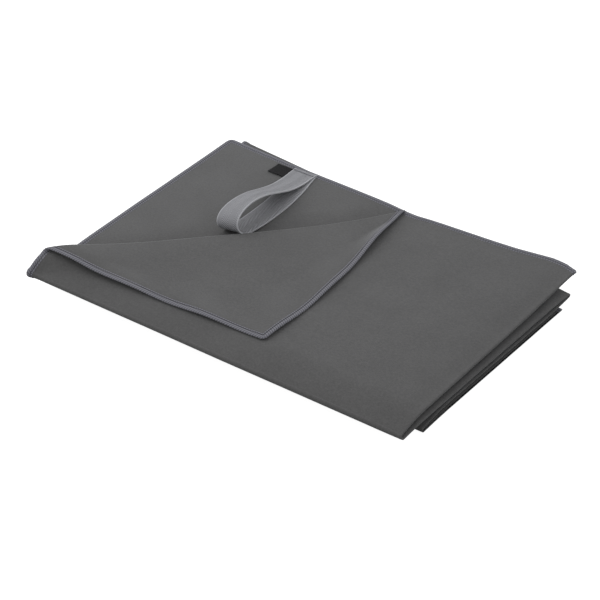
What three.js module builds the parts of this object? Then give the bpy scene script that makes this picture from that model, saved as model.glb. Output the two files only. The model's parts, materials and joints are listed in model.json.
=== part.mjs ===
// A quick-dry towel, folded in half and then in four like a fan, with its top corner turned over.
// Millimetres. X runs along the front fold, Y to the back, Z up; the folded towel lies on Z = 0.
import * as THREE from 'three';

// Cloth and edging
const CLOTH = 1.0;              // thickness of the towel cloth
const LAYER_PITCH = 3.3;        // height from one layer to the next in the pile
const HEM_WIDTH = 7.0;          // width of the overlocked edge
const HEM_THICKNESS = 2.0;
const GAP = 0.3;                // clear space between neighbouring pieces
const BOTTOM_LAYER = CLOTH / 2; // height of the middle of the lowest layer
const FLUSH_HEM_RISE = (HEM_THICKNESS - CLOTH) / 2;  // keeps the bottom fold's hems off the floor
const CREASE_RADIUS = LAYER_PITCH / 2;         // two neighbouring layers share a crease
const WIDE_CREASE_RADIUS = 1.5 * LAYER_PITCH;  // the layers outside those two share a wider one

// Where the towel turns from one fold to the next (Y at the middle of the crease)
const TOP_FRONT = -139.5;       // top fold to upper middle fold
const MIDDLE_BACK = 136.0;      // upper middle fold to lower middle fold
const MIDDLE_BACK_SKEW = THREE.MathUtils.degToRad(-4.5);  // this crease runs forward to the right
const BOTTOM_FRONT = -107.5;    // lower middle fold to bottom fold

// Side edges of the folds, seen from above, each from its front end to its back end
const BOTTOM_RIGHT = [[199.5, BOTTOM_FRONT], [207.5, 112]];
const BOTTOM_LEFT = [[-190, BOTTOM_FRONT], [-190, 112]];
const BOTTOM_BACK_RIGHT = [206, 109.5];
const LOWER_MIDDLE_RIGHT = [[198, BOTTOM_FRONT], [207, 120]];
const LOWER_MIDDLE_LEFT = [[-188, BOTTOM_FRONT], [-188, 150]];
const UPPER_MIDDLE_RIGHT = [[198.5, TOP_FRONT], [207, 120]];
const UPPER_MIDDLE_LEFT = [[-190, TOP_FRONT], [-190, 150]];
const TOP_RIGHT = [[196.5, TOP_FRONT], [201, 140.5]];     // its back end is where the two back hems meet
const TOP_LOWER_LEFT = [[-194.5, TOP_FRONT], [-198, 148]];
const TOP_UPPER_LEFT = [[-202.5, TOP_FRONT], [-205, -110]];

// Turned corner: its crease runs from the left edge to the back edge
const CORNER_CREASE_LEFT = [-204, -125];
const CORNER_CREASE_BACK = [23.5, 134.6];
const CORNER_FRONT_LEG_LEFT = [-204, -119];
const CORNER_TIP = [36, -109];

// Hanging loop, a strip of webbing folded on itself and sewn in beside the back hem
const LOOP_LEFT = -110.0;
const WEBBING_WIDTH = 24.5;
const WEBBING_THICKNESS = 1.2;
const LOOP_BASE = 137.2;        // Y of the sewn ends
// Middle of the webbing: distance in front of the sewn ends, height above the cloth
const LOOP_PATH = [
  [0.3, 0.9], [55, 0.9], [98, 1.0], [116, 5.5], [121.5, 14], [117, 22.5],
  [103, 26.0], [85, 24.2], [60, 15.8], [32, 6.4], [12, 2.9], [0.3, 2.4],
];
const LOOP_STEPS = 48;
const BARTACK_WIDTH = 1.6;
const BARTACK_THICKNESS = 0.8;
const BARTACK_SETBACK = 3.0;    // from the sewn ends of the webbing

// Woven label, sewn in beside the loop
const LABEL_LEFT = -129.5;
const LABEL_WIDTH = 18.7;
const LABEL_FRONT = 118.3;
const LABEL_LENGTH = 16.4;
const LABEL_THICKNESS = 0.5;

const CREASE_SEGMENTS = 14;

const towelFabric = new THREE.MeshStandardMaterial({ color: 0x57575a, roughness: 0.95, metalness: 0 });
const edgeThread = new THREE.MeshStandardMaterial({ color: 0x6d6d75, roughness: 0.85, metalness: 0 });
const webbing = new THREE.MeshStandardMaterial({ color: 0x8b8c92, roughness: 0.8, metalness: 0 });
const labelWeave = new THREE.MeshStandardMaterial({ color: 0x18181a, roughness: 0.75, metalness: 0 });
const sewingThread = new THREE.MeshStandardMaterial({ color: 0x5c5d64, roughness: 0.8, metalness: 0 });

const towel = new THREE.Group();
towel.name = 'quick_dry_towel';

const layerHeight = (number) => BOTTOM_LAYER + number * LAYER_PITCH;

function add(name, geometry, material) {
  const mesh = new THREE.Mesh(geometry, material);
  mesh.name = name;
  towel.add(mesh);
  return mesh;
}

// A straight edge of a fold, seen from above, walked with the cloth on its left.
function edge(from, to) {
  return { from: new THREE.Vector2(...from), to: new THREE.Vector2(...to) };
}

const along = (line) => line.to.clone().sub(line.from).normalize();

// The same edge moved into the cloth.
function inset(line, distance) {
  const direction = along(line);
  const shift = new THREE.Vector2(-direction.y, direction.x).multiplyScalar(distance);
  return { from: line.from.clone().add(shift), to: line.to.clone().add(shift) };
}

const backwards = (line) => ({ from: line.to, to: line.from });

function crossing(first, second) {
  const a = along(first);
  const b = along(second);
  const apart = second.from.clone().sub(first.from);
  const distance = apart.cross(b) / a.cross(b);
  return first.from.clone().addScaledVector(a, distance);
}

// A flat piece between straight edges, with its middle at the given height.
function flatPiece(edges, height, thickness) {
  const corners = edges.map((line, i) => crossing(line, edges[(i + 1) % edges.length]));
  const geometry = new THREE.ExtrudeGeometry(new THREE.Shape(corners), {
    depth: thickness,
    bevelEnabled: false,
  });
  return geometry.translate(0, 0, height - thickness / 2);
}

// A cloth turned through half a circle along a line, bulging to the right of the line.
function halfTube(line, height, radius, thickness) {
  const section = new THREE.Shape();
  section.absarc(0, 0, radius + thickness / 2, -Math.PI / 2, Math.PI / 2, false);
  section.absarc(0, 0, radius - thickness / 2, Math.PI / 2, -Math.PI / 2, true);
  const geometry = new THREE.ExtrudeGeometry(section, {
    depth: line.from.distanceTo(line.to),
    bevelEnabled: false,
    curveSegments: CREASE_SEGMENTS,
  });
  const direction = along(line);
  const outward = new THREE.Vector3(direction.y, -direction.x, 0);
  const backward = new THREE.Vector3(-direction.x, -direction.y, 0);
  const frame = new THREE.Matrix4().makeBasis(outward, new THREE.Vector3(0, 0, 1), backward);
  frame.setPosition(line.to.x, line.to.y, height);
  return geometry.applyMatrix4(frame);
}

// The part of an edge between two crossing edges.
const between = (line, first, last) => ({ from: crossing(line, first), to: crossing(line, last) });

// The overlocked band on one edge, ending at its neighbours on both sides.
function hem(name, line, before, after, height) {
  const sides = [before, line, after, backwards(inset(line, HEM_WIDTH))];
  add(name, flatPiece(sides, height, HEM_THICKNESS), edgeThread);
}

const middleBackDirection = [Math.cos(MIDDLE_BACK_SKEW), Math.sin(MIDDLE_BACK_SKEW)];
const topFront = edge([0, TOP_FRONT], [1, TOP_FRONT]);
const bottomFront = edge([0, BOTTOM_FRONT], [1, BOTTOM_FRONT]);
const middleBack = backwards(edge(
  [0, MIDDLE_BACK],
  [middleBackDirection[0], MIDDLE_BACK + middleBackDirection[1]],
));

// The four folds from the floor up. Each is the towel's two halves, one on the other, joined by the
// crease on the right; the halves' hems lie one above the other on the left.
const folds = {
  bottom: {
    layer: 0,
    front: bottomFront,
    right: edge(...BOTTOM_RIGHT),
    left: backwards(edge(...BOTTOM_LEFT)),
    back: edge(BOTTOM_BACK_RIGHT, BOTTOM_LEFT[1]),
    hasBackHem: true,
    hemRise: FLUSH_HEM_RISE,
  },
  lower_middle: {
    layer: 2,
    front: bottomFront,
    right: edge(...LOWER_MIDDLE_RIGHT),
    left: backwards(edge(...LOWER_MIDDLE_LEFT)),
    back: middleBack,
    hasBackHem: false,
    hemRise: 0,
  },
  upper_middle: {
    layer: 4,
    front: topFront,
    right: edge(...UPPER_MIDDLE_RIGHT),
    left: backwards(edge(...UPPER_MIDDLE_LEFT)),
    back: middleBack,
    hasBackHem: false,
    hemRise: 0,
  },
};
const topRight = edge(...TOP_RIGHT);
const topLowerLeft = backwards(edge(...TOP_LOWER_LEFT));
const topLowerBack = edge(TOP_RIGHT[1], TOP_LOWER_LEFT[1]);
const topUpperLeft = backwards(edge(...TOP_UPPER_LEFT));
const topUpperBack = edge(TOP_RIGHT[1], CORNER_CREASE_BACK);
const cornerCrease = edge(CORNER_CREASE_BACK, CORNER_CREASE_LEFT);

const rightCreaseReach = CREASE_RADIUS + CLOTH / 2;
const hemCurlReach = CREASE_RADIUS + HEM_THICKNESS / 2;
const sheetBesideHem = (line) => inset(line, HEM_WIDTH + GAP);
const sheetBesideFold = (line) => inset(line, GAP);
const sheetBesideCrease = (line) => inset(line, rightCreaseReach + GAP);

// One half of one of the three lower folds: the sheet and the hem on its left edge.
function lowerFoldHalf(name, fold, back, height) {
  const front = sheetBesideFold(fold.front);
  const right = sheetBesideCrease(fold.right);
  add(name, flatPiece([front, right, back, sheetBesideHem(fold.left)], height, CLOTH), towelFabric);
  hem(`${name}_left_hem`, fold.left, back, front, height + fold.hemRise);
}

function rightCrease(name, right, front, back, height) {
  const line = between(inset(right, rightCreaseReach), front, back);
  add(name, halfTube(line, height, CREASE_RADIUS, CLOTH), towelFabric);
}

// The back hem where it turns round the right crease.
function hemCurl(name, right, back, height) {
  const line = between(inset(right, hemCurlReach), inset(back, HEM_WIDTH), back);
  add(name, halfTube(line, height, CREASE_RADIUS, HEM_THICKNESS), edgeThread);
}

function lowerFold(name, fold) {
  const lower = layerHeight(fold.layer);
  const upper = layerHeight(fold.layer + 1);
  const middle = (lower + upper) / 2;
  const back = fold.hasBackHem ? sheetBesideHem(fold.back) : sheetBesideFold(fold.back);
  lowerFoldHalf(`${name}_lower_half`, fold, back, lower);
  lowerFoldHalf(`${name}_upper_half`, fold, back, upper);
  rightCrease(`${name}_right_crease`, fold.right, sheetBesideFold(fold.front), back, middle);
  if (fold.hasBackHem) {
    const hemRight = inset(fold.right, hemCurlReach + GAP);
    hem(`${name}_lower_back_hem`, fold.back, hemRight, fold.left, lower + fold.hemRise);
    hem(`${name}_upper_back_hem`, fold.back, hemRight, fold.left, upper + fold.hemRise);
    hemCurl(`${name}_back_hem_curl`, fold.right, fold.back, middle + fold.hemRise);
  }
}

// The two strips of cloth that turn from one fold to the next, one inside the other.
function foldCreases(name, line, left, right, height) {
  const reach = between(line, left, right);
  add(`${name}_inner_crease`, halfTube(reach, height, CREASE_RADIUS, CLOTH), towelFabric);
  add(`${name}_outer_crease`, halfTube(reach, height, WIDE_CREASE_RADIUS, CLOTH), towelFabric);
}

function topFold() {
  const lower = layerHeight(6);
  const upper = layerHeight(7);
  const front = sheetBesideFold(topFront);
  const right = sheetBesideCrease(topRight);
  const hemRight = inset(topRight, hemCurlReach + GAP);
  const upperCut = sheetBesideFold(cornerCrease);
  add('top_lower_half', flatPiece(
    [front, right, sheetBesideHem(topLowerBack), sheetBesideHem(topLowerLeft)], lower, CLOTH,
  ), towelFabric);
  hem('top_lower_half_left_hem', topLowerLeft, sheetBesideHem(topLowerBack), front, lower);
  hem('top_lower_back_hem', topLowerBack, hemRight, topLowerLeft, lower);
  add('top_upper_half', flatPiece(
    [front, right, sheetBesideHem(topUpperBack), upperCut, sheetBesideHem(topUpperLeft)],
    upper, CLOTH,
  ), towelFabric);
  hem('top_upper_half_left_hem', topUpperLeft, upperCut, front, upper);
  hem('top_upper_back_hem', topUpperBack, hemRight, upperCut, upper);
  rightCrease('top_right_crease', topRight, front, inset(topLowerBack, HEM_WIDTH + GAP),
    (lower + upper) / 2);
  hemCurl('top_back_hem_curl', topRight, topLowerBack, (lower + upper) / 2);
}

function turnedCorner() {
  const height = layerHeight(8);
  const frontLeg = edge(CORNER_FRONT_LEG_LEFT, CORNER_TIP);
  const rightLeg = edge(CORNER_TIP, CORNER_CREASE_BACK);
  const cut = sheetBesideFold(cornerCrease);
  add('corner_flap', flatPiece([sheetBesideHem(frontLeg), sheetBesideHem(rightLeg), cut], height, CLOTH),
    towelFabric);
  hem('corner_flap_front_hem', frontLeg, cut, rightLeg, height);
  hem('corner_flap_right_hem', rightLeg, sheetBesideHem(frontLeg), cut, height);
  const sewnEnd = inset(topUpperBack, HEM_WIDTH + GAP);
  const crease = between(cornerCrease, sewnEnd, inset(frontLeg, HEM_WIDTH + GAP));
  add('corner_crease', halfTube(crease, (layerHeight(7) + height) / 2, CREASE_RADIUS, CLOTH), towelFabric);
}

function hangLoop() {
  const path = new THREE.SplineCurve(LOOP_PATH.map(([reach, rise]) => new THREE.Vector2(reach, rise)));
  const outside = [];
  const inside = [];
  for (let i = 0; i <= LOOP_STEPS; i += 1) {
    const point = path.getPoint(i / LOOP_STEPS);
    const direction = path.getTangent(i / LOOP_STEPS);
    const normal = new THREE.Vector2(direction.y, -direction.x).multiplyScalar(WEBBING_THICKNESS / 2);
    outside.push(point.clone().add(normal));
    inside.push(point.clone().sub(normal));
  }
  const geometry = new THREE.ExtrudeGeometry(new THREE.Shape([...outside, ...inside.reverse()]), {
    depth: WEBBING_WIDTH,
    bevelEnabled: false,
  });
  // local X runs forward from the sewn ends, local Y up, local Z to the left
  const clothTop = layerHeight(6) + CLOTH / 2;
  const frame = new THREE.Matrix4().makeBasis(
    new THREE.Vector3(0, -1, 0),
    new THREE.Vector3(0, 0, 1),
    new THREE.Vector3(-1, 0, 0),
  );
  frame.setPosition(LOOP_LEFT + WEBBING_WIDTH, LOOP_BASE, clothTop);
  add('hang_loop', geometry.applyMatrix4(frame), webbing);

  const bartack = new THREE.BoxGeometry(WEBBING_WIDTH - 2, BARTACK_WIDTH, BARTACK_THICKNESS);
  const webbingTop = clothTop + LOOP_PATH.at(-1)[1] + WEBBING_THICKNESS / 2;
  add('loop_bartack', bartack, sewingThread).position.set(
    LOOP_LEFT + WEBBING_WIDTH / 2,
    LOOP_BASE - BARTACK_SETBACK,
    webbingTop + 2 * GAP + BARTACK_THICKNESS / 2,
  );
}

function wovenLabel() {
  const clothTop = layerHeight(6) + CLOTH / 2;
  const body = new THREE.BoxGeometry(LABEL_WIDTH, LABEL_LENGTH, LABEL_THICKNESS);
  add('woven_label', body, labelWeave).position.set(
    LABEL_LEFT + LABEL_WIDTH / 2,
    LABEL_FRONT + LABEL_LENGTH / 2,
    clothTop + GAP + LABEL_THICKNESS / 2,
  );
}

Object.entries(folds).forEach(([name, fold]) => lowerFold(`${name}_fold`, fold));
topFold();
turnedCorner();
const lowerRight = sheetBesideCrease(folds.lower_middle.right);
const upperRight = sheetBesideCrease(folds.upper_middle.right);
foldCreases('front_lower', bottomFront, folds.lower_middle.left, lowerRight, layerHeight(1.5));
foldCreases('back', middleBack, lowerRight, folds.lower_middle.left, layerHeight(3.5));
foldCreases('front_upper', topFront, folds.upper_middle.left, upperRight, layerHeight(5.5));
hangLoop();
wovenLabel();

export default towel;
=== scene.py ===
"""A quick-dry towel, folded into a packet with one corner turned over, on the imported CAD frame."""

import json
import math

import bmesh
import bpy
import numpy as np
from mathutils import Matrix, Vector


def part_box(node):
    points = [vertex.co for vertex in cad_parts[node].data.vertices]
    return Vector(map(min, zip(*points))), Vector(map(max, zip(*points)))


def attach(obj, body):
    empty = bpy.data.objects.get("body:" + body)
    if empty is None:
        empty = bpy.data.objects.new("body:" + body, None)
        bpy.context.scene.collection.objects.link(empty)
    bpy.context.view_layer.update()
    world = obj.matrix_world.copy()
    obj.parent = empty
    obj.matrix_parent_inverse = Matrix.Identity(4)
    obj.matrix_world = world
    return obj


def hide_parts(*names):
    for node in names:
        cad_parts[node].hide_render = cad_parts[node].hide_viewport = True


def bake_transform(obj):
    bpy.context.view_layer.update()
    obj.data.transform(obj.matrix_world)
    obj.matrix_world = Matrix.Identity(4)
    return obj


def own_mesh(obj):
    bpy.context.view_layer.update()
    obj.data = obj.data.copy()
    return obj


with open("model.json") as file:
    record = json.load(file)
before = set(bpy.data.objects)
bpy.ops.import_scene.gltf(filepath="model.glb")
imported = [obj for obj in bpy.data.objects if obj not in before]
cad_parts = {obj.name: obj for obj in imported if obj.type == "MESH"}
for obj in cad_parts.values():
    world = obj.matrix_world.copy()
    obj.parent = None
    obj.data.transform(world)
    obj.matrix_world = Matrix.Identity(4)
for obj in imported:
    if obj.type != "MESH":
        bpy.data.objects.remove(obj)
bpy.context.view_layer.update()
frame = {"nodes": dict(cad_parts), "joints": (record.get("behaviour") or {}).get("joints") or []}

MM = 0.001
UP = np.array([0.0, 0.0, 1.0])

CLOTH = 1.0 * MM
HEM_WIDTH = 6.1 * MM
HEM_INSET = 2.6 * MM        # the cloth ends this far inside its hem's rim, hidden in the hem
CORNER_RADIUS = 7.0 * MM    # of the hems at the towel's corners
STITCH_PITCH = 2.5 * MM
STITCH_STEP = STITCH_PITCH / 6  # between two mesh rows of a hem
STITCH_SLANT = 0.45         # how far a ridge runs along the edge for each step in from the rim
RIDGE_RELIEF = 0.34 * MM
RIDGE_END = 0.53            # where the ridges begin to fade, as a share of the hem's width
RIDGE_FADE = 0.13
BEAD_WIDTH = 0.8 * MM       # of the beads along the rim
HEM_GROOVE = 0.68 * HEM_WIDTH  # from the rim to the groove beside the ridges, where the colour is darkened with painted shade
NEEDLE_ROW = 0.84 * HEM_WIDTH  # from the rim to the row of needle stitches
NEEDLE_WIDTH = 0.6 * MM
NEEDLE_RELIEF = 0.25 * MM


# ---- reading the frame

def corner(node, toward_x, toward_y):
    """The corner of a CAD node that lies furthest in a direction, seen from above."""
    points = np.array([v.co for v in frame["nodes"][node].data.vertices])
    return points[(points[:, 0] * toward_x + points[:, 1] * toward_y).argmax(), :2]


def middle_height(node):
    low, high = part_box(node)
    return (low.z + high.z) / 2


def joint(name):
    found = next(j for j in frame["joints"] if j["name"] == name)
    return np.array(found["pos_m"]), np.array(found["axis"])


def on_joint_line(xy, name):
    """The point straight in front of or behind xy that lies on a hinge's line."""
    place, axis = joint(name)
    return np.array([xy[0], place[1] + (xy[0] - place[0]) * axis[1] / axis[0]])


# ---- small maths

def lerp(a, b, t):
    return a + (b - a) * t


def smooth(t):
    t = np.clip(t, 0.0, 1.0)
    return t * t * (3 - 2 * t)


def unit(v):
    return v / np.maximum(np.linalg.norm(v, axis=-1, keepdims=True), 1e-12)


def matched(a, b):
    """Two numbers or arrays as arrays of one shape."""
    return np.broadcast_arrays(np.asarray(a, float), np.asarray(b, float))


def rows_at(at, stops, rows):
    """Rows of coordinates, interpolated at positions between stops."""
    return np.stack([np.interp(at, stops, column) for column in rows.T], axis=-1)


def with_height(xy, z):
    return np.concatenate([xy, np.broadcast_to(z, xy.shape[:-1])[..., None]], axis=-1)


def arc_lengths(points):
    steps = np.linalg.norm(np.diff(points, axis=0), axis=1)
    return np.concatenate([[0.0], np.cumsum(steps)])


def evenly(points, count):
    """A path as count evenly spaced points. Its first three columns give its length."""
    length = arc_lengths(points[:, :3])
    return rows_at(np.linspace(0, length[-1], count), length, points)


def filleted(corners, radii, step):
    """An evenly sampled path through corners, each rounded with its own radius."""
    corners = [np.array(c, float) for c in corners]
    dense = [corners[0]]
    for before, here, after, radius in zip(corners, corners[1:], corners[2:], radii):
        arriving, leaving = unit(here - before), unit(after - here)
        turn = math.acos(float(np.clip(arriving @ leaving, -1, 1)))
        if turn < 1e-3:
            dense.append(here)
            continue
        cut = radius * math.tan(turn / 2)
        start, end = here - arriving * cut, here + leaving * cut
        for t in np.linspace(0, 1, 9):
            dense.append(lerp(lerp(start, here, t), lerp(here, end, t), t))
    dense.append(corners[-1])
    dense = np.array(dense)
    count = max(2, int(round(arc_lengths(dense)[-1] / step)) + 1)
    return evenly(dense, count)


def offset_left(path, distance):
    """The path moved sideways to its left, in its own plane."""
    direction = unit(np.gradient(path, axis=0))
    return path + np.stack([-direction[:, 1], direction[:, 0]], axis=1) * distance


# ---- meshes

def place_object(name, data):
    made = bpy.data.objects.new(name, data)
    bpy.context.scene.collection.objects.link(made)
    return made


def mesh_object(name, points, faces, uv, flat_count):
    """A closed mesh facing outwards. The last flat_count faces shade flat."""
    mesh = bpy.data.meshes.new(name)
    mesh.from_pydata(points.tolist(), [], faces)
    solid = bmesh.new()
    solid.from_mesh(mesh)
    if solid.calc_volume(signed=True) < 0:
        mesh.flip_normals()
    solid.free()
    layer = mesh.uv_layers.new(name="cloth")
    loops = np.zeros(len(mesh.loops), int)
    mesh.loops.foreach_get("vertex_index", loops)
    layer.data.foreach_set("uv", uv[loops].astype(np.float32).ravel())
    shading = [True] * (len(faces) - flat_count) + [False] * flat_count
    mesh.polygons.foreach_set("use_smooth", shading)
    mesh.update()
    return place_object(name, mesh)


def cloth_sheet(name, grid, thickness=CLOTH):
    """A closed sheet of cloth of one thickness round a grid of points."""
    normals = unit(np.cross(np.gradient(grid, axis=0), np.gradient(grid, axis=1)))
    points = np.concatenate([
        (grid + normals * thickness / 2).reshape(-1, 3),
        (grid - normals * thickness / 2).reshape(-1, 3),
    ])
    rows, columns = grid.shape[:2]
    count = rows * columns
    index = np.arange(count).reshape(rows, columns)
    corners = [index[:-1, :-1], index[:-1, 1:], index[1:, 1:], index[1:, :-1]]
    sheet = np.stack(corners, axis=-1).reshape(-1, 4)
    rim = np.concatenate([index[0], index[1:, -1], index[-1, -2::-1], index[-2:0:-1, 0]])
    following = np.roll(rim, -1)
    wall = np.stack([rim, following, following + count, rim + count], axis=1)
    faces = np.concatenate([sheet[:, ::-1], sheet + count, wall])
    steps_down = np.linalg.norm(np.diff(grid, axis=0, prepend=grid[:1]), axis=2)
    steps_across = np.linalg.norm(np.diff(grid, axis=1, prepend=grid[:, :1]), axis=2)
    uv = np.stack([steps_across.cumsum(axis=1), steps_down.cumsum(axis=0)], axis=-1).reshape(-1, 2)
    obj = mesh_object(name, points, faces.tolist(), np.concatenate([uv, uv]), flat_count=len(wall))
    sharpen_rim(obj, len(wall))
    return obj


def sharpen_rim(obj, wall_count):
    """The thin walls at the rim shade flat, so that neighbouring pieces meet without a seam."""
    mesh = obj.data
    edges = {tuple(sorted(key)): i for i, key in enumerate(mesh.edge_keys)}
    sharp = np.zeros(len(mesh.edges), bool)
    for polygon in list(mesh.polygons)[-wall_count:]:
        corners = list(polygon.vertices)
        for a, b in ((corners[0], corners[1]), (corners[2], corners[3])):
            sharp[edges[tuple(sorted((a, b)))]] = True
    attribute = mesh.attributes.new("sharp_edge", "BOOLEAN", "EDGE")
    attribute.data.foreach_set("value", sharp)


def hem_section():
    """The outline of a hem across the edge: distance in from the rim, height, side."""
    # share of the hem's width in from the rim, height above the middle of the cloth (mm)
    top = [(0.035, 0.5), (0.11, 0.85), (0.24, 1.0), (0.4, 1.0), (0.53, 0.92), (0.6, 0.72), (0.65, 0.58),
           (0.71, 0.58), (0.77, 0.85), (0.84, 0.97), (0.91, 0.85), (0.97, 0.55), (1.0, 0.4)]
    outline = [(0.0, 0.0, 0.0)]
    outline += [(share * HEM_WIDTH, height * MM, 1.0) for share, height in top]
    outline += [(share * HEM_WIDTH, -height * MM, -1.0) for share, height in reversed(top)]
    return np.array(outline)


def overlocked_hem(name, outer, inner):
    """Looped thread over an edge: ridges slant from a row of needle stitches to a beaded rim."""
    length = arc_lengths(outer)
    count = max(2, int(round(length[-1] / STITCH_STEP)) + 1)
    at = np.linspace(0, length[-1], count)
    outer, inner = rows_at(at, length, outer), rows_at(at, length, inner)
    inward = unit(inner - outer)
    along = unit(np.gradient(outer, axis=0))
    normal = unit(np.cross(inward, along))
    in_from_rim, height, side = hem_section().T
    s = at[:, None]
    slant = STITCH_SLANT * side * in_from_rim
    ridge = np.abs(np.sin(math.pi * (s + slant) / STITCH_PITCH)) ** 0.7 - 0.6
    bead = np.abs(np.sin(math.pi * s / STITCH_PITCH)) ** 0.6 - 0.6
    at_rim = np.exp(-(in_from_rim / BEAD_WIDTH) ** 2)
    on_ridges = (1 - at_rim) * (1 - smooth((in_from_rim / HEM_WIDTH - RIDGE_END) / RIDGE_FADE))
    on_needle_row = np.exp(-((in_from_rim - NEEDLE_ROW) / NEEDLE_WIDTH) ** 2)
    relief = RIDGE_RELIEF * ridge * on_ridges + NEEDLE_RELIEF * bead * on_needle_row
    points = (
        outer[:, None]
        + inward[:, None] * (in_from_rim - RIDGE_RELIEF * bead * at_rim)[..., None]
        + normal[:, None] * (height + side * relief)[..., None]
    )
    uv = np.stack(np.broadcast_arrays(s, side * in_from_rim), axis=-1)
    return tube(name, points, uv)


def tube(name, points, uv):
    """A closed tube through rows of ring points, with a flat cap at either end."""
    rows, columns = points.shape[:2]
    index = np.arange(rows * columns).reshape(rows, columns)
    a, b = index[:-1].ravel(), np.roll(index, -1, axis=1)[:-1].ravel()
    faces = np.stack([a, a + columns, b + columns, b], axis=1).tolist()
    caps = [index[0].tolist(), index[-1, ::-1].tolist()]
    return mesh_object(name, points.reshape(-1, 3), faces + caps, uv.reshape(-1, 2), flat_count=2)


# ---- the folds

PINCH = 0.9 * MM            # how far each half of a fold comes in at its right crease
PINCH_WIDTH = 13.0 * MM
SAG = 0.05                  # how far a fold sinks at its right crease, as a share of its height
CREASE_REACH = 1.3 * MM     # from where the crease starts to bend to the middle of its cloth
PRESSED_SHARE = 0.38        # spacing of the layers at the front and back creases, of that elsewhere
PRESSED_REACH = 36.0 * MM
PRESSED_CURVE = 1.7
PRESSED_BELOW = {           # how far those creases lie below their hinges
    "stack_unfold": 3.0 * MM,
    "middle_unfold": 0.3 * MM,
    "top_open": 4.6 * MM,
}
BACK_HEM_REACH = 7.0 * MM   # from the back end of a CAD right crease to the rim of the back hem
FLOOR_CLEARANCE = 2.0 * MM  # least height of the middle of the cloth, so that its hems rest on the floor
FRONT_SKEW = 2.8 * MM       # how far the top two folds' front crease runs back at its right end
BACK_FLARE = 7.0 * MM       # how far the back crease of the middle folds runs out at its left end
TURN_BULGE = 1.2            # how far the cloth between two folds stands out, in radii of its turn
RIPPLE_LENGTHS = (0.31, 0.19, 0.12, 0.07)  # of the waves, in metres
RIPPLE_PEAK = 0.45          # about the highest that those waves add up to
RIPPLE_START = 40.0 * MM    # the waves grow to full height within this distance of the right crease
FOLD_ROWS = 64              # mesh rows from front to back
HALF_COLUMNS = 46           # mesh columns across one half of a fold
CREASE_COLUMNS = 13         # and round its right crease
TURN_ROWS = 18
HEM_TURN_ROWS = 40


def ripple(xy, height, seed):
    """Gentle unevenness of a cloth lying flat."""
    draws = np.random.default_rng(seed)
    total = 0.0
    for wavelength in RIPPLE_LENGTHS:
        angle = draws.uniform(0, math.pi)
        phase = draws.uniform(0, 2 * math.pi)
        across = xy[..., 0] * math.cos(angle) + xy[..., 1] * math.sin(angle)
        total = total + wavelength * np.sin(2 * math.pi * across / wavelength + phase)
    return height * total / RIPPLE_PEAK


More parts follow.
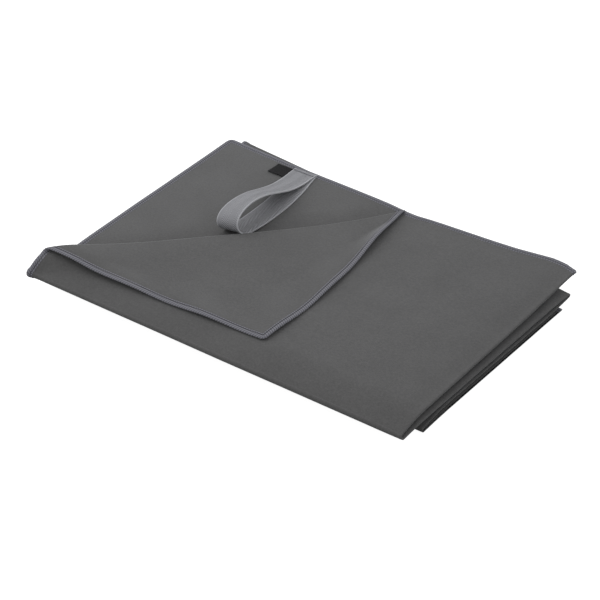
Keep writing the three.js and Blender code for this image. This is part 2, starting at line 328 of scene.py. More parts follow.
class Fold:
    """One fold as one surface: lower half, right crease and upper half.

    across runs from 0 at the lower half's left edge to 1 at the crease, to 2 on the crease's far
    side and to 3 at the upper half's left edge. along runs from 0 at the front to 1 at the back."""

    def __init__(self, name, seed, front_joint, back_joint=None, unevenness=0.25 * MM):
        self.name = self.body = name
        self.seed = seed
        self.unevenness = unevenness
        hinges = [hinge for hinge in (front_joint, back_joint) if hinge]
        self.turns = [(*joint(hinge), PRESSED_BELOW[hinge]) for hinge in hinges]
        self.low = max(middle_height(f"{name}_lower_half"), FLOOR_CLEARANCE)
        self.high = middle_height(f"{name}_upper_half")
        crease, hem = f"{name}_right_crease", f"{name}_lower_half_left_hem"
        reach = np.array([CREASE_REACH + CLOTH / 2, 0])
        self.front_right = on_joint_line(corner(crease, 0.2, -1) - reach, front_joint)
        left_front = on_joint_line(corner(hem, -1, -1), front_joint)
        if front_joint == "top_open":
            self.front_right[1] += FRONT_SKEW
        if back_joint:
            self.back_right = on_joint_line(corner(crease, 0.2, 1) - reach, back_joint)
            left_back = on_joint_line(corner(hem, -1, 1), back_joint) + np.array([0, BACK_FLARE])
        else:
            self.back_right = corner(crease, 0.2, 1) - reach + np.array([0, BACK_HEM_REACH])
            left_back = corner(f"{name}_lower_back_hem", -1, 1)
        self.lower_left = self.upper_left = np.array([left_front, left_back])
        self.lower_stops = self.upper_stops = np.array([0.0, 1.0])

    def size(self):
        """The width of one half, the length round the right crease, and the depth."""
        width = np.linalg.norm(self.front_right - self.lower_left[0])
        depth = np.linalg.norm(self.back_right - self.front_right)
        return width, math.pi * CREASE_REACH, depth

    def pressed(self, z, xy):
        """Layers sink and close up towards the creases at the front and the back."""
        for place, axis, below in self.turns:
            line = place[1] + (xy[..., 0] - place[0]) * axis[1] / axis[0]
            away = np.clip(np.abs(xy[..., 1] - line) / PRESSED_REACH, 0, 1)
            pressed = place[2] - below + PRESSED_SHARE * (z - place[2])
            z = lerp(z, pressed, (1 - away) ** PRESSED_CURVE)
        return z

    def heights(self, xy):
        """Heights of the middle of the lower half's and the upper half's cloth."""
        along = (xy[..., 1] - self.front_right[1]) / (self.back_right[1] - self.front_right[1])
        from_crease = np.maximum(lerp(self.front_right[0], self.back_right[0], along) - xy[..., 0], 0)
        near = np.exp(-(from_crease / PINCH_WIDTH) ** 2)
        waves = ripple(xy, self.unevenness, self.seed)
        waves = waves * smooth(from_crease / RIPPLE_START) - SAG * self.low * near
        low, high = self.low + PINCH * near + waves, self.high - PINCH * near + waves
        return self.pressed(low, xy), self.pressed(high, xy)

    def points(self, across, along):
        across, along = matched(across, along)
        right = lerp(self.front_right, self.back_right, along[..., None])
        lower_left = rows_at(along, self.lower_stops, self.lower_left)
        upper_left = rows_at(along, self.upper_stops, self.upper_left)
        lower_share = np.clip(across, 0, 1)[..., None]
        upper_share = np.clip(across - 2, 0, 1)[..., None]
        xy = np.where(across[..., None] <= 1, lerp(lower_left, right, lower_share),
                      lerp(right, upper_left, upper_share))
        low, high = self.heights(xy)
        angle = (np.clip(across, 1, 2) - 1.5) * math.pi
        z = np.where(across <= 1, low, np.where(across >= 2, high,
                     (low + high) / 2 + (high - low) / 2 * np.sin(angle)))
        bulge = np.where((across > 1) & (across < 2), CREASE_REACH * np.cos(angle), 0.0)
        xy = xy + np.stack([bulge, np.zeros_like(bulge)], axis=-1)
        return with_height(xy, z)


def spread(count):
    """Samples from 0 to 1, closer at both ends."""
    t = np.linspace(0, 1, count)
    return lerp(t, 0.5 - 0.5 * np.cos(math.pi * t), 0.75)


def across_parts(inset):
    """Where the mesh columns of the lower half, the right crease and the upper half lie."""
    lower = lerp(inset, 1.0, spread(HALF_COLUMNS))
    crease = np.linspace(1.0, 2.0, CREASE_COLUMNS)
    upper = lerp(2.0, 3.0 - inset, spread(HALF_COLUMNS))
    return lower, crease, upper


def fold_cloth(fold, piece, back_hem=False):
    width, _, depth = fold.size()
    lower, crease, upper = across_parts(HEM_INSET / width)
    across = np.concatenate([lower, crease[1:-1], upper])
    along = spread(FOLD_ROWS) * (1 - (HEM_INSET / depth if back_hem else 0))
    grid = fold.points(across[None, :], along[:, None])
    return cloth_sheet(piece, grid)


def hem_on_fold(fold, corners, radii=()):
    """Rim and inner edge of a hem. The corners of its path are pairs of across and along."""
    width, crease, depth = fold.size()
    across = [0, 1, 2, 3]
    metres = [0, width, width + crease, 2 * width + crease]
    corners = [(np.interp(x, across, metres), y * depth) for x, y in corners]
    path = filleted(corners, radii, STITCH_STEP)

    def on_cloth(flat):
        return fold.points(np.interp(flat[:, 0], metres, across), flat[:, 1] / depth)

    return on_cloth(path), on_cloth(offset_left(path, -HEM_WIDTH))


def turn_rows(first, second, outward, steps):
    """Cloth that turns through half a circle from one row of points to another."""
    centre, radius = (first + second) / 2, (second - first) / 2
    angle = np.linspace(0, math.pi, steps + 1)[:, None, None]
    reach = np.abs(radius[..., 2:]) * TURN_BULGE
    return centre - radius * np.cos(angle) + outward * reach * np.sin(angle)


def bend_between(piece):
    """Bakes a piece's placement into its mesh."""
    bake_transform(piece)


def fold_turn(name, lower, upper, along):
    """The creased cloth between two folds, in three pieces: outer, round the right end, inner. along
    is 0 for a crease at the front and 1 for one at the back."""
    outward = np.array([0.0, 2 * along - 1, 0.0])

    def turned(across, steps):
        return turn_rows(lower.points(across, along), upper.points(3 - across, along), outward, steps)

    width = lower.size()[0]
    pieces = []
    for part, across in zip(("outer", "right_end", "inner"), across_parts(HEM_INSET / width)):
        rows = turned(across, TURN_ROWS)
        piece = cloth_sheet(f"{name}_{part}_turn", rows)
        bend_between(piece)
        if part != "right_end":
            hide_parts(f"{name}_{part}_crease")
        pieces.append(piece)
    share = HEM_WIDTH / width
    hems = []
    for part, rim, inside in (("outer", 0.0, share), ("inner", 3.0, 3.0 - share)):
        edges = [turned(np.array([across]), HEM_TURN_ROWS)[:, 0] for across in (rim, inside)]
        hem = overlocked_hem(f"{name}_{part}_hem_turn", *edges)
        bend_between(hem)
        hems.append(hem)
    return pieces, hems


# ---- the turned corner

CREASE_BOW = 4.0 * MM       # how far the diagonal crease bends towards the turned corner
CREASE_SAG = 5.6 * MM       # and how much further it does so towards its back end
RAMP_RISE = 8.0 * MM        # how far the cloth climbs to the left end of its diagonal crease
RAMP_LENGTH = 62.0 * MM
RAMP_WIDTH = 17.0 * MM      # of the climb at the left end; it widens from there
CURL_LEFT = 2.5 * MM        # radius of the turned cloth at the left end of its crease
CURL_RIGHT = 2.1 * MM       # and further right
CURL_END = 1.2 * MM         # and at the back hem, where it is pressed flat
CURL_SPAN = 8.0 * MM        # the width that path coordinates give the curl
FLAP_REST = 1.75 * MM       # height of the flap above the cloth it lies on, middle to middle
FLAP_SETTLE = 55.0 * MM     # distance in which the flap comes down from its curl
VALLEY_DEPTH = 2.0 * MM     # the cloth behind the crease dips towards it
VALLEY_WIDTH = 17.0 * MM
VALLEY_START = 60.0 * MM    # the stretch round the crease's left end over which the dip deepens
LEG_BOW = 8.0 * MM          # how far the flap's right edge bends outwards, most near its tip
RIM_LIFT = 2.3 * MM         # how far the flap's edges stand up all along, in waves
RIM_WAVE = 58.0 * MM
RIM_END = 30.0 * MM         # the edges come back down within this distance of the crease's ends
EDGE_LIFT = 3.2 * MM        # how much further the right edge stands up towards its back end
EDGE_LIFT_LENGTH = 34.0 * MM
LEFT_ADVANCE = 8.0 * MM     # how far the left hem moves along the crease while it turns over
BACK_ADVANCE = 2.5 * MM
TIP_RADIUS = 5.0 * MM
LEFT_FLARE = 4.5 * MM       # how far the top fold's front left corner leans out
LOWER_FLARE = 2.5 * MM      # and that of its lower half
CREASE_OVERHANG = 3.0 * MM  # how far the diagonal crease runs out beyond its CAD node
CREASE_STOP = 0.5 * MM      # and how far short of its back end it stops
DIAGONAL_INSET = HEM_INSET / 0.7  # the cloth's inset in its hem, measured along the diagonal crease
HEM_CURL_RADIUS = 5.0 * MM  # of the hem's path at the left end of the curl
HEM_BEND_RADIUS = 3.0 * MM  # and at the gentle bends that follow the tip
BACK_HEM_SPLICE = 0.14      # the back hem's two paths join within this share of the upper half's edge
BACK_LIFT = 2.6 * MM        # how far the top fold's back right corner stands up
BACK_LIFT_SPAN = 110.0 * MM
CURL_SPLITS = (0.0, 0.06, 0.12, 0.18, 0.25, 0.35, 1.0)  # shares of its length where its cloth is split
CURL_ROWS = 25
CURL_COLUMNS = 150          # mesh columns for the whole length of the curl
FLAP_ROWS, FLAP_COLUMNS = 130, 60
TOP_ROWS, TOP_COLUMNS = 90, 60  # the columns are those of the upper half


class DiagonalCrease:
    """Where the corner turns over: s runs along it from its left end, b away from it, rightwards."""

    def __init__(self):
        place, axis = joint("corner_turn")
        self.direction = -axis[:2]
        self.inward = np.array([self.direction[1], -self.direction[0]])
        left = corner("top_upper_half_left_hem", -1, 0.1)
        back = corner("corner_flap_right_hem", 0, 1)
        start = (left - place[:2]) @ self.direction - CREASE_OVERHANG
        self.origin = place[:2] + self.direction * start
        self.length = (back - self.origin) @ self.direction

    def bow(self, s):
        share = np.clip(s / self.length, 0, 1)
        return CREASE_BOW * np.sin(math.pi * share) + CREASE_SAG * np.sin(math.pi * share ** 2.6)

    def place(self, s, b):
        s, b = matched(s, b)
        return self.origin + s[..., None] * self.direction + (b + self.bow(s))[..., None] * self.inward

    def locate(self, xy):
        relative = np.asarray(xy) - self.origin
        s = relative @ self.direction
        return s, relative @ self.inward - self.bow(s)

    def rise(self, s):
        return RAMP_RISE * np.exp(-(np.maximum(s, 0) / RAMP_LENGTH) ** 1.8)

    def ramp(self, s, b):
        """The climb of the cloth that lies under the flap."""
        width = RAMP_WIDTH + 0.5 * np.clip(s, 0, RAMP_LENGTH)
        return self.rise(s) * (1 - smooth(b / width))

    def radius(self, s):
        flattened = lerp(CURL_RIGHT, CURL_END, smooth((s / self.length - 0.35) / 0.5))
        return lerp(flattened, CURL_LEFT, self.rise(s) / RAMP_RISE)


class Corner:
    """The turned corner in path coordinates: s along the diagonal crease and k across it. k is below
    0 on the top fold's upper half, 0 to CURL_SPAN round the curl and above that on the flap."""

    def __init__(self, top):
        self.top = top
        self.crease = top.crease
        self.hem_in = 0.0
        self.hem_out = LEFT_ADVANCE
        self.back_in = top.crease_end
        self.back_out = self.back_in - BACK_ADVANCE
        tip = corner("corner_flap_front_hem", 1, -1)
        back = self.crease.place(self.back_out, 0)
        share = np.linspace(0, 1, 14)[:, None]
        outwards = unit(np.array([back[1] - tip[1], tip[0] - back[0]]))
        right_leg = lerp(tip, back, share) + outwards * LEG_BOW * np.sin(math.pi * share ** 0.8) ** 1.3
        leg_s, leg_b = self.crease.locate(right_leg)
        self.right_leg = np.stack([leg_s, np.maximum(leg_b, 0) + CURL_SPAN], axis=1)
        self.lifted_at = np.interp(0.78, share[:, 0], leg_s)

    def points(self, s, k):
        s, k = matched(s, k)
        beyond = np.where(k < 0, -k, np.maximum(k - CURL_SPAN, 0))
        xy = self.crease.place(s, beyond)
        base = self.top.heights(xy)[1]
        radius, rise = self.crease.radius(s), self.crease.rise(s)
        settle = np.exp(-(beyond / FLAP_SETTLE) ** 2)
        flap = lerp(FLAP_REST, rise + 2 * radius, settle)
        near_rim = smooth((beyond / np.maximum(self.leg(s), MM) - 0.5) / 0.5)
        from_ends = np.minimum(s - self.hem_out, self.back_out - s)
        waves = RIM_LIFT * (0.6 + 0.4 * np.sin(2 * math.pi * s / RIM_WAVE)) * smooth(from_ends / RIM_END)
        edge_lift = EDGE_LIFT * np.exp(-((s - self.lifted_at) / EDGE_LIFT_LENGTH) ** 2)
        flap = flap + near_rim * (waves + edge_lift)
        angle = np.clip(k / CURL_SPAN, 0, 1) * math.pi
        curl = rise + radius * (1 - np.cos(angle))
        lift = np.where(k <= 0, self.crease.ramp(s, beyond), np.where(k >= CURL_SPAN, flap, curl))
        out = np.where((k > 0) & (k < CURL_SPAN), radius * np.sin(angle), 0.0)
        return with_height(xy - out[..., None] * self.crease.inward, base + lift)

    def leg(self, s):
        """How far the flap reaches from the crease at s."""
        leg_s = np.concatenate([[self.hem_out], self.right_leg[:, 0]])
        leg_b = np.concatenate([[0.0], self.right_leg[:, 1] - CURL_SPAN])
        return np.interp(s, leg_s, leg_b)


class TopFold(Fold):
    """The top fold, whose upper half ends on the left at the diagonal crease."""

    # for each half, a sideways position and how far the back edge leaves its straight line there (mm)
    BACK_EDGES = (
        ((-200, 0), (-110, -2.5), (10, -3.0), (100, 0), (175, 4.5), (190, 4.0), (205, 0)),
        ((20, 0), (60, 1.5), (100, 2.5), (140, 3.0), (175, 5.5), (190, 4.5), (205, 0)),
    )

    def __init__(self, seed):
        super().__init__("top", seed, "top_open", unevenness=0.3 * MM)
        self.body = "top_fold"
        self.crease = DiagonalCrease()
        self.crease_end = self.crease.length - CREASE_STOP
        front = on_joint_line(corner("top_upper_half_left_hem", -1, -1), "top_open")
        front[0] -= LEFT_FLARE
        self.lower_left = self.lower_left - np.array([[LOWER_FLARE, 0], [0, 0]])
        crease_line = self.crease.place(np.linspace(0, self.crease_end, 30), 0)
        self.upper_left = np.concatenate([[front], crease_line])
        depth = self.upper_left[:, 1] - front[1]
        self.upper_stops = depth / depth[-1]

    def points(self, across, along):
        points = super().points(across, along)
        across, along = matched(across, along)
        lower, upper = [np.interp(points[..., 0], *(np.array(bow) * MM).T) for bow in self.BACK_EDGES]
        share = smooth((along - 0.5) / 0.5)
        points[..., 1] += share * lerp(lower, upper, smooth(across - 1))
        s, b = self.crease.locate(points[..., :2])
        points[..., 2] += np.where(across >= 2, self.crease.ramp(s, np.maximum(b, 0)), 0)
        points[..., 2] -= np.where(across <= 1, self.valley(points[..., :2]), 0)
        return points

    def valley(self, xy):
        """How far the lower half dips beside the diagonal crease."""
        s, b = self.crease.locate(xy)
        return VALLEY_DEPTH * np.exp(-(b / VALLEY_WIDTH) ** 2) * smooth(s / VALLEY_START + 0.5)

    def heights(self, xy):
        toward_corner = (xy[..., 0] + xy[..., 1] - self.back_right.sum()) / BACK_LIFT_SPAN + 1
        lift = BACK_LIFT * smooth(toward_corner)
        low, high = super().heights(xy)
        return low + lift, high + lift

    def lower_top(self, xy):
        """The top of the lower half's cloth, on which the loop and the label lie."""
        return self.heights(xy)[0] - self.valley(xy) + CLOTH / 2


def ridge_path(top, turned):
    """The hem from the front of the top fold's left edge, over the curl, round the flap and back."""
    last = lerp(top.upper_left[-1], top.back_right, BACK_HEM_SPLICE / 2)
    ends = np.array([top.upper_left[0], last])
    end_s, end_b = top.crease.locate(ends)
    return [
        (end_s[0], -end_b[0]), (turned.hem_in, 0), (turned.hem_out, CURL_SPAN), *turned.right_leg,
        (turned.back_in, 0), (end_s[1], -end_b[1]),
    ]


def split_by(k, low, high):
    """The run of samples with low <= k <= high, kept in one piece."""
    inside = np.nonzero((k >= low) & (k <= high))[0]
    return slice(max(inside[0] - 1, 0), inside[-1] + 2)


def corner_hems(top, turned):
    """Rims and inner edges of the hem round the corner, cut where it passes from body to body."""
    corners = ridge_path(top, turned)
    radii = [HEM_CURL_RADIUS] * 2 + [TIP_RADIUS] + [HEM_BEND_RADIUS] * (len(corners) - 5)
    path = filleted(corners, radii, STITCH_STEP)
    outer, inner = turned.points(*path.T), turned.points(*offset_left(path, -HEM_WIDTH).T)
    k = path[:, 1]
    tip = int(k.argmax())
    runs = {}
    for side, half in (("left", slice(0, tip)), ("right", slice(tip, None))):
        for part, low, high in (("edge", -1.0, 0.0), ("curl", 0.0, CURL_SPAN)):
            run = split_by(k[half], low, high)
            runs[f"{side}_{part}"] = (outer[half][run], inner[half][run])
    on_flap = np.nonzero(k >= CURL_SPAN)[0]
    run = slice(on_flap[0], on_flap[-1] + 1)
    runs["flap"] = (outer[run], inner[run])
    return runs


def flap_cloth(turned):
    start, end = turned.hem_out + DIAGONAL_INSET, turned.back_out - DIAGONAL_INSET
    s = lerp(start, end, np.linspace(0, 1, FLAP_ROWS))
    tip = turned.right_leg[0, 0]
    s[np.abs(s - tip).argmin()] = tip
    reach = np.maximum(turned.leg(s) - DIAGONAL_INSET, 0.1 * MM)
    share = np.linspace(0, 1, FLAP_COLUMNS)
    grid = turned.points(s[:, None], CURL_SPAN + share[None, :] * reach[:, None])
    return cloth_sheet("corner_flap_cloth", grid)


def bend_over_curl(piece, turned, s):
    """Bakes the placement of a piece of the curl between the top fold and the flap into its mesh."""
    step = 5 * MM
    low, ahead = turned.points(np.array([s, s + step]), 0.0)
    top = turned.points(np.array(s), CURL_SPAN)
    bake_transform(piece)


def curl_pieces(turned):
    """The cloth round the curl, cut into stretches, because each can only bend about one line."""
    k = np.linspace(0, CURL_SPAN, CURL_ROWS)[None, :]
    left = lerp(turned.hem_in, turned.hem_out, k / CURL_SPAN) + DIAGONAL_INSET
    right = lerp(turned.back_in, turned.back_out, k / CURL_SPAN) - DIAGONAL_INSET
    pieces = []
    for number, (start, end) in enumerate(zip(CURL_SPLITS, CURL_SPLITS[1:]), 1):
        share = np.linspace(start, end, max(6, int((end - start) * CURL_COLUMNS)))[:, None]
        piece = cloth_sheet(f"corner_curl_{number}", turned.points(lerp(left, right, share), k))
        bend_over_curl(piece, turned, lerp(turned.hem_in, turned.back_in, (start + end) / 2))
        pieces.append(piece)
    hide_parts("corner_crease")
    return pieces


# ---- loop, label and stitches

WEBBING_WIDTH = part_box("hang_loop")[1].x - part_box("hang_loop")[0].x
WEBBING_THICKNESS = 1.2 * MM
TWILL_PITCH = 1.8 * MM
HERRINGBONE_BAND = 6.5 * MM
LOOP_ROWS = 240
LOOP_COLUMNS = 24
LOOP_ROOT = 1.3 * MM        # how far behind its CAD box the loop is sewn in
BARTACK_HEIGHT = 2.9 * MM   # above the cloth that the loop lies on
BARTACK_HALF_WIDTH = 0.8 * MM
BARTACK_TEETH = 22
THREAD_RADIUS = 0.24 * MM
THREAD_SIDES = 8
NEEDLE_DIP = 0.25 * MM
LABEL_THICKNESS = 0.45 * MM
LABEL_ROOT = 1.5 * MM       # how far behind its CAD box the label is sewn in
LABEL_EXTRA_WIDTH = 0.4 * MM
LABEL_REST = 0.35 * MM      # height of its sewn edge above the cloth
LABEL_LIFT = 0.9 * MM       # and how much more its free edge stands up
LABEL_BOW = 0.3 * MM


def catmull_rom(stops, count):
    """A smooth curve through stops, evenly sampled in arc length."""
    stops = np.asarray(stops, float)
    padded = np.concatenate([2 * stops[:1] - stops[1:2], stops, 2 * stops[-1:] - stops[-2:-1]])
    t = np.linspace(0, 1, 24, endpoint=False)[:, None]
    runs = []
    for a, b, c, d in zip(padded, padded[1:], padded[2:], padded[3:]):
        runs.append(0.5 * (2 * b + (c - a) * t + (2 * a - 5 * b + 4 * c - d) * t ** 2
                           + (3 * b - a - 3 * c + d) * t ** 3))
    return evenly(np.concatenate([*runs, stops[-1:]]), count)


def hang_loop(top):
    """Webbing folded on itself: from its sewn end out along the cloth, round and back above."""
    low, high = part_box("hang_loop")
    middle = (low.x + high.x) / 2
    base = high.y + LOOP_ROOT
    # sideways from the sewn end's middle, forward of it, above the cloth (all mm), tilt in degrees
    stops = np.array([
        (0.0, 0.0, 0.3, 0), (2.5, 12, 0.75, 0), (7.0, 34, 0.8, 0), (10.3, 62, 0.9, 1), (10.8, 92, 0.9, 2),
        (9.5, 112, 1.4, 4), (8.0, 124, 3.6, 6), (6.6, 131, 9.5, 8), (5.6, 132.5, 16.5, 10),
        (5.2, 128, 22.5, 12), (5.3, 118, 26.0, 14), (5.6, 104, 26.3, 15), (5.2, 86, 22.6, 14),
        (4.2, 64, 14.6, 11), (3.0, 44, 7.6, 7), (1.4, 24, 3.3, 3), (0.5, 10, 2.2, 1), (0.0, 0.0, 1.5, 0),
    ])
    path = catmull_rom(stops, LOOP_ROWS)
    xy = np.stack([middle + path[:, 0] * MM, base - path[:, 1] * MM], axis=1)
    centre = with_height(xy, top.lower_top(xy) + path[:, 2] * MM)
    tilt = np.radians(path[:, 3])
    along = unit(np.gradient(centre, axis=0))
    side = np.stack([np.cos(tilt), np.zeros_like(tilt), np.sin(tilt)], axis=1)
    side = unit(side - along * (side * along).sum(axis=1, keepdims=True))
    share = np.linspace(-0.5, 0.5, LOOP_COLUMNS)
    grid = centre[:, None] + side[:, None] * (share * WEBBING_WIDTH)[:, None]
    return cloth_sheet("webbing_loop", grid, WEBBING_THICKNESS)


def thread(name, path):
    """A round thread along a path."""
    along = unit(np.gradient(path, axis=0))
    across = unit(np.cross(along, UP + 1e-3))
    up = np.cross(across, along)
    angle = np.linspace(0, 2 * math.pi, THREAD_SIDES, endpoint=False)
    ring = across[:, None] * np.cos(angle)[:, None] + up[:, None] * np.sin(angle)[:, None]
    points = path[:, None] + ring * THREAD_RADIUS
    uv = np.stack(np.broadcast_arrays(arc_lengths(path)[:, None], angle * THREAD_RADIUS), axis=-1)
    return tube(name, points, uv)


def bartack(top):
    """Thread going to and fro between two rows of needle holes, across both ends of the loop."""
    low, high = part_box("loop_bartack")
    middle = np.array([(low.x + high.x) / 2, (low.y + high.y) / 2])
    height = top.lower_top(middle) + BARTACK_HEIGHT
    start, end = np.array([low.x, middle[1], 0.0]), np.array([high.x, middle[1], 0.0])
    t = np.linspace(0, 1, BARTACK_TEETH * 8 + 1)
    swing = np.abs(((t * BARTACK_TEETH) % 1) * 2 - 1) * 2 - 1
    forward = unit(np.cross(UP, end - start)) * BARTACK_HALF_WIDTH
    dip = NEEDLE_DIP * np.abs(swing) ** 6
    path = lerp(start, end, t[:, None]) + forward * swing[:, None] + UP * (height - dip)[:, None]
    return thread("loop_stitches", path)


def woven_label(top):
    low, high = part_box("woven_label")
    across, forward = np.meshgrid(np.linspace(0, 1, 24), np.linspace(0, 1, 30))
    x = lerp(low.x, high.x + LABEL_EXTRA_WIDTH, across)
    y = lerp(high.y + LABEL_ROOT, low.y, forward)
    xy = np.stack([x, y], axis=-1)
    lift = LABEL_REST + LABEL_LIFT * forward ** 2 + LABEL_BOW * np.sin(math.pi * across)
    return cloth_sheet("black_label", with_height(xy, top.lower_top(xy) + lift), LABEL_THICKNESS)


# ---- materials

THREAD_GRAIN = 700.0        # scale of the strands in threads and woven satin


class Material:
    """A material made of one principled shader with the given inputs."""

    def __init__(self, name, inputs):
        self.made = bpy.data.materials.new(name)
        self.made.use_nodes = True
        self.tree = self.made.node_tree
        self.tree.nodes.clear()
        self.shader = self.node("BsdfPrincipled", inputs)
        self.node("OutputMaterial", {"Surface": self.shader.outputs["BSDF"]})

    def node(self, kind, inputs=None, **settings):
        made = self.tree.nodes.new(f"ShaderNode{kind}")
        for key, value in settings.items():
            setattr(made, key, value)
        for key, value in (inputs or {}).items():
            if isinstance(value, bpy.types.NodeSocket):
                self.tree.links.new(value, made.inputs[key])
            else:
                made.inputs[key].default_value = value
        return made

    def drive(self, key, value):
        self.tree.links.new(value, self.shader.inputs[key])

    def paint(self, value, stops):
        """Colours the shader by a value, through stops of position and colour."""
        ramp = self.node("ValToRGB", {"Fac": value})
        elements = ramp.color_ramp.elements
        elements[0].position, elements[0].color = stops[0][0], (*stops[0][1], 1)
        elements[1].position, elements[1].color = stops[-1][0], (*stops[-1][1], 1)
        for position, colour in stops[1:-1]:
            elements.new(position).color = (*colour, 1)
        self.drive("Base Color", ramp.outputs["Color"])

    def bump(self, height, strength, distance):
        made = self.node("Bump", {"Height": height, "Strength": strength, "Distance": distance})
        self.drive("Normal", made.outputs["Normal"])

    def object_place(self):
        return self.node("TexCoord").outputs["Object"]

    def cloth_uv(self):
        """Distances over the cloth in metres: both together, then each on its own."""
        uv = self.node("UVMap", uv_map="cloth").outputs["UV"]
        split = self.node("SeparateXYZ", {"Vector": uv}).outputs
        return uv, split["X"], split["Y"]

    def noise(self, place, scale, detail, roughness=0.55):
        inputs = {"Vector": place, "Scale": scale, "Detail": detail, "Roughness": roughness}
        return self.node("TexNoise", inputs).outputs["Fac"]

    def strands(self, place, distortion, **settings):
        inputs = {"Vector": place, "Scale": THREAD_GRAIN, "Distortion": distortion}
        return self.node("TexWave", inputs, **settings).outputs["Fac"]

    def maths(self, operation, first, second=0.0):
        return self.node("Math", {0: first, 1: second}, operation=operation).outputs[0]

    def weighted_sum(self, first, first_weight, second, second_weight):
        return self.maths("ADD", self.maths("MULTIPLY", first, first_weight),
                          self.maths("MULTIPLY", second, second_weight))

    def fade(self, value, start, end, at_start, at_end):
        """Goes from one number to another while a value goes from start to end."""
        inputs = {"Value": value, "From Min": start, "From Max": end, "To Min": at_start, "To Max": at_end}
        return self.node("MapRange", inputs).outputs["Result"]


def microfibre():
    """Brushed suede-like microfibre: faint nap clouds, fine pile and a soft sheen."""
    cloth = Material("towel_microfibre", {
        "Roughness": 0.95, "Specular IOR Level": 0.12,
        "Sheen Weight": 0.3, "Sheen Roughness": 0.45, "Sheen Tint": (0.85, 0.87, 0.9, 1)})
    place = cloth.object_place()
    clouds = cloth.noise(place, 26.0, 3.0)
    pile = cloth.noise(place, 1300.0, 2.0, 0.7)
    grain = cloth.noise(place, 520.0, 3.0, 0.7)
    cloth.paint(cloth.weighted_sum(clouds, 0.3, grain, 0.7), [
        (0.3, (0.0412, 0.0408, 0.0408)), (0.5, (0.0518, 0.0513, 0.0513)), (0.7, (0.0633, 0.0628, 0.0628))])
    cloth.bump(cloth.weighted_sum(pile, 0.5, grain, 0.5), 0.5, 0.4 * MM)
    return cloth.made


def edge_thread():
    """Overlock thread: light crowns in the thread's colour, with painted shade in the gaps between them and
    in the groove beside the row of needle stitches.
    """
    edge = Material("overlock_thread", {"Roughness": 0.85, "Specular IOR Level": 0.15, "Sheen Weight": 0.1})
    uv, along, in_from_rim = edge.cloth_uv()
    slanted = edge.maths("ADD", along, edge.maths("MULTIPLY", in_from_rim, STITCH_SLANT))
    phase = edge.maths("MULTIPLY", slanted, math.pi / STITCH_PITCH)
    # high on the crowns, which keep the thread's light colour; low in the gaps between ridges, which get
    # painted shade
    crowns_and_gap_shade = edge.maths("POWER", edge.maths("ABSOLUTE", edge.maths("SINE", phase)), 0.7)
    fibres = edge.strands(uv, 1.5)
    from_groove = edge.maths("SUBTRACT", edge.maths("ABSOLUTE", in_from_rim), HEM_GROOVE)
    # painted shade: 0 in the groove beside the needle stitches, 1 elsewhere, multiplied into the colour
    groove_shade = edge.fade(edge.maths("ABSOLUTE", from_groove), 0.25 * MM, 0.6 * MM, 0.0, 1.0)
    # the darkest stop, below the cloth's own tone, is painted shade; the lightest is the thread's colour
    edge.paint(edge.maths("MULTIPLY", edge.weighted_sum(crowns_and_gap_shade, 0.8, fibres, 0.2), groove_shade), [
        (0.08, (0.024, 0.024, 0.028)), (0.5, (0.07, 0.07, 0.081)), (0.95, (0.13, 0.13, 0.148))])
    edge.bump(fibres, 0.4, 0.2 * MM)
    return edge.made


def twill_webbing():
    """Herringbone webbing: slanting ribs that change direction in lengthwise bands, with firm edges
    lightened by a painted highlight.
    """
    twill = Material("twill_webbing", {"Roughness": 0.75, "Specular IOR Level": 0.3})
    uv, across, along = twill.cloth_uv()
    band = twill.maths("PINGPONG", across, HERRINGBONE_BAND)
    slanted = twill.maths("ADD", along, twill.maths("MULTIPLY", band, 1.2))
    ribs = twill.maths("SINE", twill.maths("MULTIPLY", slanted, 2 * math.pi / TWILL_PITCH))
    ribs = twill.maths("ADD", twill.maths("MULTIPLY", ribs, 0.5), 0.5)
    weave = twill.weighted_sum(ribs, 0.7, twill.noise(uv, 2600.0, 2.0), 0.3)
    # a painted highlight along both edges of the webbing, lightest within 0.6 mm of the edge
    from_edge = twill.maths("PINGPONG", across, WEBBING_WIDTH / 2)
    weave = twill.maths("MAXIMUM", weave, twill.fade(from_edge, 0.6 * MM, 1.3 * MM, 0.85, 0.0))
    twill.paint(weave, [
        (0.15, (0.085, 0.087, 0.094)), (0.5, (0.172, 0.174, 0.186)), (0.85, (0.265, 0.268, 0.284))])
    twill.bump(weave, 1.0, 0.6 * MM)
    return twill.made


def label_weave():
    """Black woven satin, blank."""
    satin = Material("label_weave", {"Roughness": 0.6, "Specular IOR Level": 0.06})
    weave = satin.strands(satin.object_place(), 0.4)
    satin.paint(weave, [(0.0, (0.004, 0.004, 0.0045)), (1.0, (0.009, 0.009, 0.01))])
    satin.bump(weave, 0.4, 0.1 * MM)
    return satin.made


def grey_thread():
    """Sewing thread with its twist."""
    sewing = Material("sewing_thread", {"Roughness": 0.7})
    twist = sewing.strands(sewing.cloth_uv()[0], 0.5, bands_direction="DIAGONAL")
    sewing.paint(twist, [(0.0, (0.1, 0.1, 0.115)), (1.0, (0.2, 0.2, 0.22))])
    return sewing.made


def dress(pieces, material):
    for piece in pieces:
        piece.data.materials.append(material)


# ---- putting it together

SHEET = ("lower_half", "upper_half", "right_crease")
BACK_HEM = ("lower_back_hem", "upper_back_hem", "back_hem_curl")


def riding(piece, body, *replaced):
    """Makes a piece move with a body and stand in for CAD nodes."""
    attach(piece, body)
    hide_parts(*replaced)
    return piece


def on_fold(piece, fold, *parts):
    return riding(piece, fold.body, *[f"{fold.name}_{part}" for part in parts])


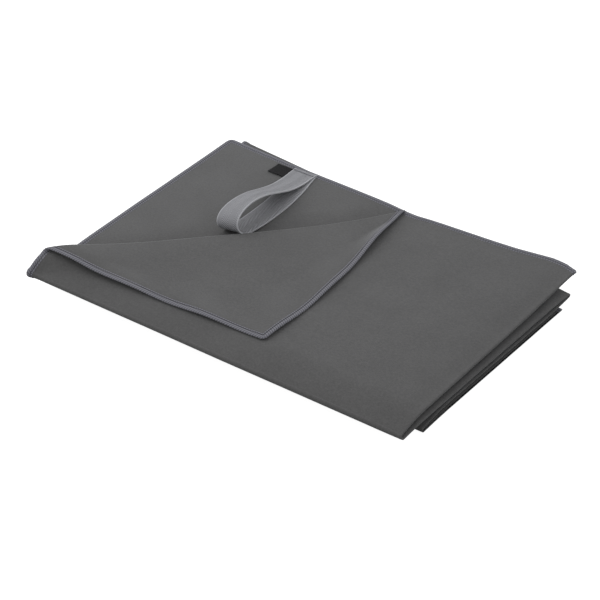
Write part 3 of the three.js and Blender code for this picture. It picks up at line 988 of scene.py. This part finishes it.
def build_folds():
    bottom = Fold("bottom_fold", seed=11, front_joint="stack_unfold")
    lower_middle = Fold("lower_middle_fold", seed=12, front_joint="stack_unfold", back_joint="middle_unfold")
    upper_middle = Fold("upper_middle_fold", seed=13, front_joint="top_open", back_joint="middle_unfold")
    top = TopFold(seed=5)
    # the top fold's hem runs on round the front crease, so the hem below it starts as far out
    front, back = upper_middle.lower_left
    swing = np.array([[1.0], [0.6], [0.25], [0.0]]) * (top.upper_left[0] - front)
    stops = np.array([0, 0.06, 0.14, 0.26])
    upper_middle.lower_left = np.concatenate([lerp(front, back, stops[:, None]) + swing, [back]])
    upper_middle.lower_stops = np.append(stops, 1.0)
    return bottom, lower_middle, upper_middle, top


def bottom_pieces(fold):
    """The bottom fold's cloth, and the hem up its lower half, along the back and down its upper half."""
    cloth = on_fold(fold_cloth(fold, "bottom_cloth", back_hem=True), fold, *SHEET)
    edges = hem_on_fold(fold, [(0, 0), (0, 1), (3, 1), (3, 0)], [CORNER_RADIUS] * 2)
    hem = on_fold(overlocked_hem("bottom_hem", *edges), fold,
                  "lower_half_left_hem", "upper_half_left_hem", *BACK_HEM)
    return [cloth], [hem]


def middle_pieces(fold):
    """A middle fold's cloth and its two hems on the left."""
    short = fold.name.removesuffix("_fold")
    cloth = on_fold(fold_cloth(fold, f"{short}_cloth"), fold, *SHEET)
    hems = []
    for half, corners in (("lower", [(0, 0), (0, 1)]), ("upper", [(3, 1), (3, 0)])):
        hem = overlocked_hem(f"{short}_{half}_hem", *hem_on_fold(fold, corners))
        hems.append(on_fold(hem, fold, f"{half}_half_left_hem"))
    return [cloth], hems


def top_cloth(top):
    """The top fold's cloth. Its upper half stops at the diagonal crease."""
    width, _, depth = top.size()
    inset = HEM_INSET / width
    along = spread(TOP_ROWS) * (1 - HEM_INSET / depth)
    lower, crease, _ = across_parts(inset)
    before_upper = np.concatenate([lower, crease[1:-1]])
    upper_end = np.where(along < top.upper_stops[1], 1 - inset, 1.0)
    upper = 2.0 + spread(TOP_COLUMNS)[None, :] * upper_end[:, None]
    across = np.concatenate([np.tile(before_upper, (TOP_ROWS, 1)), upper], axis=1)
    return cloth_sheet("top_cloth", top.points(across, along[:, None]))


def top_and_corner_hems(top, turned):
    edges = corner_hems(top, turned)
    lower_path = hem_on_fold(top, [(0, 0), (0, 1), (3 - BACK_HEM_SPLICE, 1)], [CORNER_RADIUS])
    # a straight stretch joins the end of the one path to the start of the other
    back_edges = [np.concatenate([a[:-4], b[::-1]]) for a, b in zip(lower_path, edges["right_edge"])]
    hems = [
        on_fold(overlocked_hem("top_back_hem", *back_edges), top, "lower_half_left_hem", *BACK_HEM),
        on_fold(overlocked_hem("top_left_hem", *edges["left_edge"]), top, "upper_half_left_hem"),
        riding(overlocked_hem("flap_hem", *edges["flap"]), "corner_flap",
               "corner_flap_front_hem", "corner_flap_right_hem"),
    ]
    for side, s in (("left", turned.hem_in), ("right", turned.back_in)):
        hem = overlocked_hem(f"{side}_curl_hem", *edges[f"{side}_curl"])
        bend_over_curl(hem, turned, s)
        hems.append(hem)
    return hems


def top_pieces(top):
    turned = Corner(top)
    cloth = [
        on_fold(top_cloth(top), top, *SHEET),
        riding(flap_cloth(turned), "corner_flap", "corner_flap"),
        *curl_pieces(turned),
    ]
    return cloth, top_and_corner_hems(top, turned)


def sewn_on(top):
    """The hanging loop, the thread that holds it, and the label."""
    loop = riding(hang_loop(top), "hang_loop", "hang_loop")
    low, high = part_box("hang_loop")
    lying_on = np.array([(low.x + high.x) / 2, high.y])
    # the height of the cloth where the loop is sewn on, which is left unused
    with_height(lying_on, top.lower_top(lying_on))
    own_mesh(loop)
    stitches = riding(bartack(top), "hang_loop", "loop_bartack")
    label = riding(woven_label(top), "woven_label", "woven_label")
    return loop, stitches, label


def towel():
    bottom, lower_middle, upper_middle, top = build_folds()
    groups = [
        bottom_pieces(bottom),
        middle_pieces(lower_middle),
        middle_pieces(upper_middle),
        fold_turn("front_lower", bottom, lower_middle, along=0.0),
        fold_turn("back", lower_middle, upper_middle, along=1.0),
        fold_turn("front_upper", upper_middle, top, along=0.0),
        top_pieces(top),
    ]
    loop, stitches, label = sewn_on(top)
    dress([piece for cloth, _ in groups for piece in cloth], microfibre())
    dress([piece for _, hems in groups for piece in hems], edge_thread())
    dress([loop], twill_webbing())
    dress([label], label_weave())
    dress([stitches], grey_thread())


# ---- studio

VIEW_AZIMUTH = math.radians(35.87)
VIEW_ELEVATION = math.radians(35.5)
VIEW_DISTANCE = 1.763
VIEW_TARGET = np.array([0.0132, -0.0252, 0.010])
LENS, SENSOR = 117.97, 36.0  # millimetres
FLOOR_HALF = 6.0
FLOOR_DROP = 0.2 * MM       # how far the floor lies below the frame's zero
FLOOR_GREY = (0.25, 0.25, 0.25, 1)
FLOOR_GLOW = 0.93           # added to the floor where the camera sees it, so that it looks white
WHITE = (1, 1, 1, 1)
SKY_STRENGTH = 1.25
KEY_PLACE = Vector((-0.6, -0.15, 0.85))
KEY_SIZE = 0.9
KEY_POWER = 5.5


def aim(thing, place, direction):
    """Puts a camera or light at a place, looking in a direction."""
    thing.location = place
    thing.rotation_mode = "QUATERNION"
    thing.rotation_quaternion = Vector(direction).to_track_quat("-Z", "Y")


def camera():
    data = bpy.data.cameras.new("camera")
    data.lens = LENS
    data.sensor_width = SENSOR
    made = place_object("camera", data)
    back = np.array([
        math.sin(VIEW_AZIMUTH) * math.cos(VIEW_ELEVATION),
        -math.cos(VIEW_AZIMUTH) * math.cos(VIEW_ELEVATION),
        math.sin(VIEW_ELEVATION),
    ])
    aim(made, VIEW_TARGET + back * VIEW_DISTANCE, -back)
    bpy.context.scene.camera = made


def key_light():
    data = bpy.data.lights.new("key", "AREA")
    data.shape = "SQUARE"
    data.size = KEY_SIZE
    data.energy = KEY_POWER
    aim(place_object("key", data), KEY_PLACE, -KEY_PLACE)


def pale_floor():
    mesh = bpy.data.meshes.new("floor")
    outline = [(x * FLOOR_HALF, y * FLOOR_HALF, 0) for x, y in ((-1, -1), (1, -1), (1, 1), (-1, 1))]
    mesh.from_pydata(outline, [], [(0, 1, 2, 3)])
    floor = place_object("floor", mesh)
    floor.location.z = -FLOOR_DROP
    pale = Material("pale_floor", {
        "Base Color": FLOOR_GREY, "Roughness": 0.9, "Specular IOR Level": 0.0, "Emission Color": WHITE})
    seen = pale.node("LightPath").outputs["Is Camera Ray"]
    pale.drive("Emission Strength", pale.maths("MULTIPLY", seen, FLOOR_GLOW))
    mesh.materials.append(pale.made)


def white_sky():
    world = bpy.data.worlds.new("studio")
    world.use_nodes = True
    background = world.node_tree.nodes["Background"]
    background.inputs["Color"].default_value = WHITE
    background.inputs["Strength"].default_value = SKY_STRENGTH
    bpy.context.scene.world = world


towel()
pale_floor()
white_sky()
key_light()
camera()
bpy.context.scene.view_settings.view_transform = "Standard"
